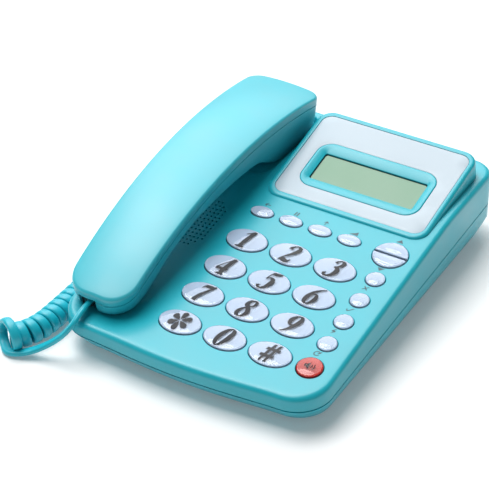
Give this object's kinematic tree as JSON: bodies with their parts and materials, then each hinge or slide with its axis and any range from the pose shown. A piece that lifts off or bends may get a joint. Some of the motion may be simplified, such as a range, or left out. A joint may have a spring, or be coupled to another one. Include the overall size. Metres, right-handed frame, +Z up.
{
  "type": "desk telephone",
  "caption": "Desktop push-button telephone in turquoise plastic: raised caller display, clear domed keys, speakerphone grille, handset at the left and a curly cord.",
  "frame": {"origin": "centre of the base's outline on the table, under the rubber feet", "axes": "+X to the phone's right, +Y to its back, +Z up"},
  "size_m": [0.164, 0.2137, 0.062],
  "materials": {
    "turquoise_abs": "glossy",
    "clear_key": "glossy",
    "red_key": "glossy",
    "silver_plate": "satin",
    "clear_window": "glossy",
    "lcd": "matte",
    "circuit_board": "matte",
    "black_rubber": "matte",
    "dark_plastic": "matte",
    "plated_steel": "satin",
    "raw_steel": "satin",
    "cell_jacket": "glossy",
    "cord_jacket": "satin",
    "clear_plug": "glossy"
  },
  "bodies": {
    "base": {"upper_housing": "turquoise_abs", "lower_housing": "turquoise_abs", "display_housing": "turquoise_abs", "faceplate": "silver_plate", "display_window": "clear_window", "lcd_panel": "lcd", "display_board": "circuit_board", "main_board": "circuit_board", "keypad_board": "circuit_board", "rubber_key_mat": "black_rubber", "loudspeaker": "dark_plastic", "handsfree_microphone": "plated_steel", "hook_switch": "dark_plastic", "base_handset_jack": "dark_plastic", "line_jack": "dark_plastic", "ballast_plate": "raw_steel", "battery_cells": "cell_jacket", "battery_contacts": "plated_steel", "rubber_feet": "black_rubber", "housing_screws": "plated_steel", "board_screws": "plated_steel", "cord_coil": "cord_jacket", "cord_lead_base": "cord_jacket", "cord_plug_base": "clear_plug"},
    "handset": {"handset_outer_shell": "turquoise_abs", "handset_inner_shell": "turquoise_abs", "receiver_capsule": "dark_plastic", "handset_microphone": "plated_steel", "handset_weight": "raw_steel", "handset_jack": "dark_plastic", "handset_screws": "plated_steel", "cord_lead_handset": "cord_jacket", "cord_plug_handset": "clear_plug"},
    "hook": {"hook_plunger": "turquoise_abs"},
    "door": {"battery_door": "turquoise_abs"},
    "key_1_body": {"key_1": "clear_key"},
    "key_2_body": {"key_2": "clear_key"},
    "key_3_body": {"key_3": "clear_key"},
    "key_4_body": {"key_4": "clear_key"},
    "key_5_body": {"key_5": "clear_key"},
    "key_6_body": {"key_6": "clear_key"},
    "key_7_body": {"key_7": "clear_key"},
    "key_8_body": {"key_8": "clear_key"},
    "key_9_body": {"key_9": "clear_key"},
    "key_star_body": {"key_star": "clear_key"},
    "key_0_body": {"key_0": "clear_key"},
    "key_hash_body": {"key_hash": "clear_key"},
    "key_oval_1_body": {"key_oval_1": "clear_key"},
    "key_oval_2_body": {"key_oval_2": "clear_key"},
    "key_oval_3_body": {"key_oval_3": "clear_key"},
    "key_oval_4_body": {"key_oval_4": "clear_key"},
    "key_up_body": {"key_up": "clear_key"},
    "key_down_body": {"key_down": "clear_key"},
    "key_round_1_body": {"key_round_1": "clear_key"},
    "key_round_2_body": {"key_round_2": "clear_key"},
    "key_round_3_body": {"key_round_3": "clear_key"},
    "key_round_4_body": {"key_round_4": "clear_key"},
    "key_speaker_body": {"key_speaker": "red_key"}
  },
  "joints": [
    {"name": "handset_lift", "type": "slide", "parent": "base", "child": "handset", "axis": [0, 0, 1], "range_m": [0, 0.08]},
    {"name": "hook", "type": "slide", "parent": "base", "child": "hook", "axis": [0, 0, 1], "range_m": [0, 0.004]},
    {"name": "door_release", "type": "slide", "parent": "base", "child": "door", "axis": [0, 0, -1], "range_m": [0, 0.02]},
    {"name": "key_1_press", "type": "slide", "parent": "base", "child": "key_1_body", "axis": [0, 0.1253, -0.9921], "range_m": [0, 0.0012], "stiffness_N_per_m": 300},
    {"name": "key_2_press", "type": "slide", "parent": "base", "child": "key_2_body", "axis": [0, 0.1253, -0.9921], "range_m": [0, 0.0012], "stiffness_N_per_m": 300},
    {"name": "key_3_press", "type": "slide", "parent": "base", "child": "key_3_body", "axis": [0, 0.1253, -0.9921], "range_m": [0, 0.0012], "stiffness_N_per_m": 300},
    {"name": "key_4_press", "type": "slide", "parent": "base", "child": "key_4_body", "axis": [0, 0.1253, -0.9921], "range_m": [0, 0.0012], "stiffness_N_per_m": 300},
    {"name": "key_5_press", "type": "slide", "parent": "base", "child": "key_5_body", "axis": [0, 0.1253, -0.9921], "range_m": [0, 0.0012], "stiffness_N_per_m": 300},
    {"name": "key_6_press", "type": "slide", "parent": "base", "child": "key_6_body", "axis": [0, 0.1253, -0.9921], "range_m": [0, 0.0012], "stiffness_N_per_m": 300},
    {"name": "key_7_press", "type": "slide", "parent": "base", "child": "key_7_body", "axis": [0, 0.1253, -0.9921], "range_m": [0, 0.0012], "stiffness_N_per_m": 300},
    {"name": "key_8_press", "type": "slide", "parent": "base", "child": "key_8_body", "axis": [0, 0.1253, -0.9921], "range_m": [0, 0.0012], "stiffness_N_per_m": 300},
    {"name": "key_9_press", "type": "slide", "parent": "base", "child": "key_9_body", "axis": [0, 0.1253, -0.9921], "range_m": [0, 0.0012], "stiffness_N_per_m": 300},
    {"name": "key_star_press", "type": "slide", "parent": "base", "child": "key_star_body", "axis": [0, 0.1253, -0.9921], "range_m": [0, 0.0012], "stiffness_N_per_m": 300},
    {"name": "key_0_press", "type": "slide", "parent": "base", "child": "key_0_body", "axis": [0, 0.1253, -0.9921], "range_m": [0, 0.0012], "stiffness_N_per_m": 300},
    {"name": "key_hash_press", "type": "slide", "parent": "base", "child": "key_hash_body", "axis": [0, 0.1253, -0.9921], "range_m": [0, 0.0012], "stiffness_N_per_m": 300},
    {"name": "key_oval_1_press", "type": "slide", "parent": "base", "child": "key_oval_1_body", "axis": [0, 0.1253, -0.9921], "range_m": [0, 0.0012], "stiffness_N_per_m": 300},
    {"name": "key_oval_2_press", "type": "slide", "parent": "base", "child": "key_oval_2_body", "axis": [0, 0.1253, -0.9921], "range_m": [0, 0.0012], "stiffness_N_per_m": 300},
    {"name": "key_oval_3_press", "type": "slide", "parent": "base", "child": "key_oval_3_body", "axis": [0, 0.1253, -0.9921], "range_m": [0, 0.0012], "stiffness_N_per_m": 300},
    {"name": "key_oval_4_press", "type": "slide", "parent": "base", "child": "key_oval_4_body", "axis": [0, 0.1253, -0.9921], "range_m": [0, 0.0012], "stiffness_N_per_m": 300},
    {"name": "key_up_press", "type": "slide", "parent": "base", "child": "key_up_body", "axis": [0, 0.1253, -0.9921], "range_m": [0, 0.0012], "stiffness_N_per_m": 300},
    {"name": "key_down_press", "type": "slide", "parent": "base", "child": "key_down_body", "axis": [0, 0.1253, -0.9921], "range_m": [0, 0.0012], "stiffness_N_per_m": 300},
    {"name": "key_round_1_press", "type": "slide", "parent": "base", "child": "key_round_1_body", "axis": [0, 0.1253, -0.9921], "range_m": [0, 0.0012], "stiffness_N_per_m": 300},
    {"name": "key_round_2_press", "type": "slide", "parent": "base", "child": "key_round_2_body", "axis": [0, 0.1253, -0.9921], "range_m": [0, 0.0012], "stiffness_N_per_m": 300},
    {"name": "key_round_3_press", "type": "slide", "parent": "base", "child": "key_round_3_body", "axis": [0, 0.1253, -0.9921], "range_m": [0, 0.0012], "stiffness_N_per_m": 300},
    {"name": "key_round_4_press", "type": "slide", "parent": "base", "child": "key_round_4_body", "axis": [0, 0.1253, -0.9921], "range_m": [0, 0.0012], "stiffness_N_per_m": 300},
    {"name": "key_speaker_press", "type": "slide", "parent": "base", "child": "key_speaker_body", "axis": [0, 0.1253, -0.9921], "range_m": [0, 0.0012], "stiffness_N_per_m": 300}
  ],
  "couplings": [
    {"joint": "hook", "follows": "handset_lift", "ratio": 0.05}
  ]
}
